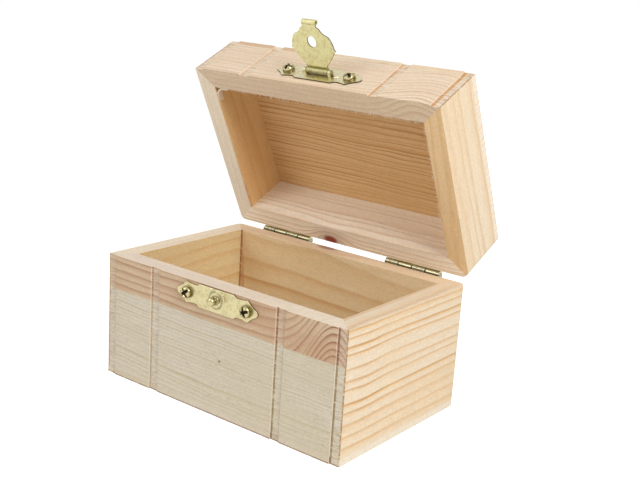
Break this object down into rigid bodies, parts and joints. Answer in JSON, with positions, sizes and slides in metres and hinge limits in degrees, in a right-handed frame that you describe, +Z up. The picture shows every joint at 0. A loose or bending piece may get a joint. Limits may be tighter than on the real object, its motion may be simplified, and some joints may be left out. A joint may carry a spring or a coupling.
{
  "type": "hinged wooden box",
  "caption": "Small rectangular pine box with a hinged lid, brass butt hinges on the back and a brass hasp that drops over a stud.",
  "frame": {"origin": "centre of the base's underside, on the surface the box stands on", "axes": "+X to the right seen from the front, +Y to the back where the hinges are, +Z up"},
  "size_m": [0.11, 0.0971, 0.1355],
  "materials": {
    "pine_pale": "sanded, unfinished",
    "pine_red": "sanded, unfinished",
    "pine_side": "sanded, unfinished",
    "pine_back": "sanded, unfinished",
    "pine_panel": "sanded, unfinished",
    "pine_lid_front": "sanded, unfinished",
    "pine_lid_side": "sanded, unfinished",
    "pine_lid_back": "sanded, unfinished",
    "pine_lid_top": "sanded, unfinished",
    "brass_plate": "thin bright plating on steel",
    "brass_screw": "thin bright plating on steel",
    "brass_hinge": "thin bright plating on steel",
    "brass_flap": "thin bright plating on steel"
  },
  "bodies": {
    "base": {"base_front_lower": "pine_pale", "base_front_upper": "pine_red", "base_left": "pine_side", "base_right": "pine_side", "base_back": "pine_back", "base_bottom": "pine_panel", "catch_plate": "brass_plate", "catch_stud": "brass_screw", "catch_screws": "brass_screw", "hinge_left_base_leaf": "brass_hinge", "hinge_right_base_leaf": "brass_hinge", "hinge_left_pin": "brass_hinge", "hinge_right_pin": "brass_hinge", "hinge_base_screws": "brass_screw"},
    "lid": {"lid_front": "pine_lid_front", "lid_left": "pine_lid_side", "lid_right": "pine_lid_side", "lid_back": "pine_lid_back", "lid_top": "pine_lid_top", "hinge_left_lid_leaf": "brass_hinge", "hinge_right_lid_leaf": "brass_hinge", "hinge_lid_screws": "brass_screw", "hasp_plate": "brass_plate", "hasp_screws": "brass_screw", "hasp_pin": "brass_screw"},
    "flap": {"hasp_flap": "brass_flap"}
  },
  "joints": [
    {"name": "lid_hinge", "type": "hinge", "parent": "base", "child": "lid", "pos_m": [0, 0.03775, 0.0465], "axis": [-1, 0, 0], "range_deg": [-64.3, 125]},
    {"name": "hasp_hinge", "type": "hinge", "parent": "lid", "child": "flap", "pos_m": [0, 0.01163, 0.11738], "axis": [-1, 0, 0], "range_deg": [-92, 88]}
  ]
}
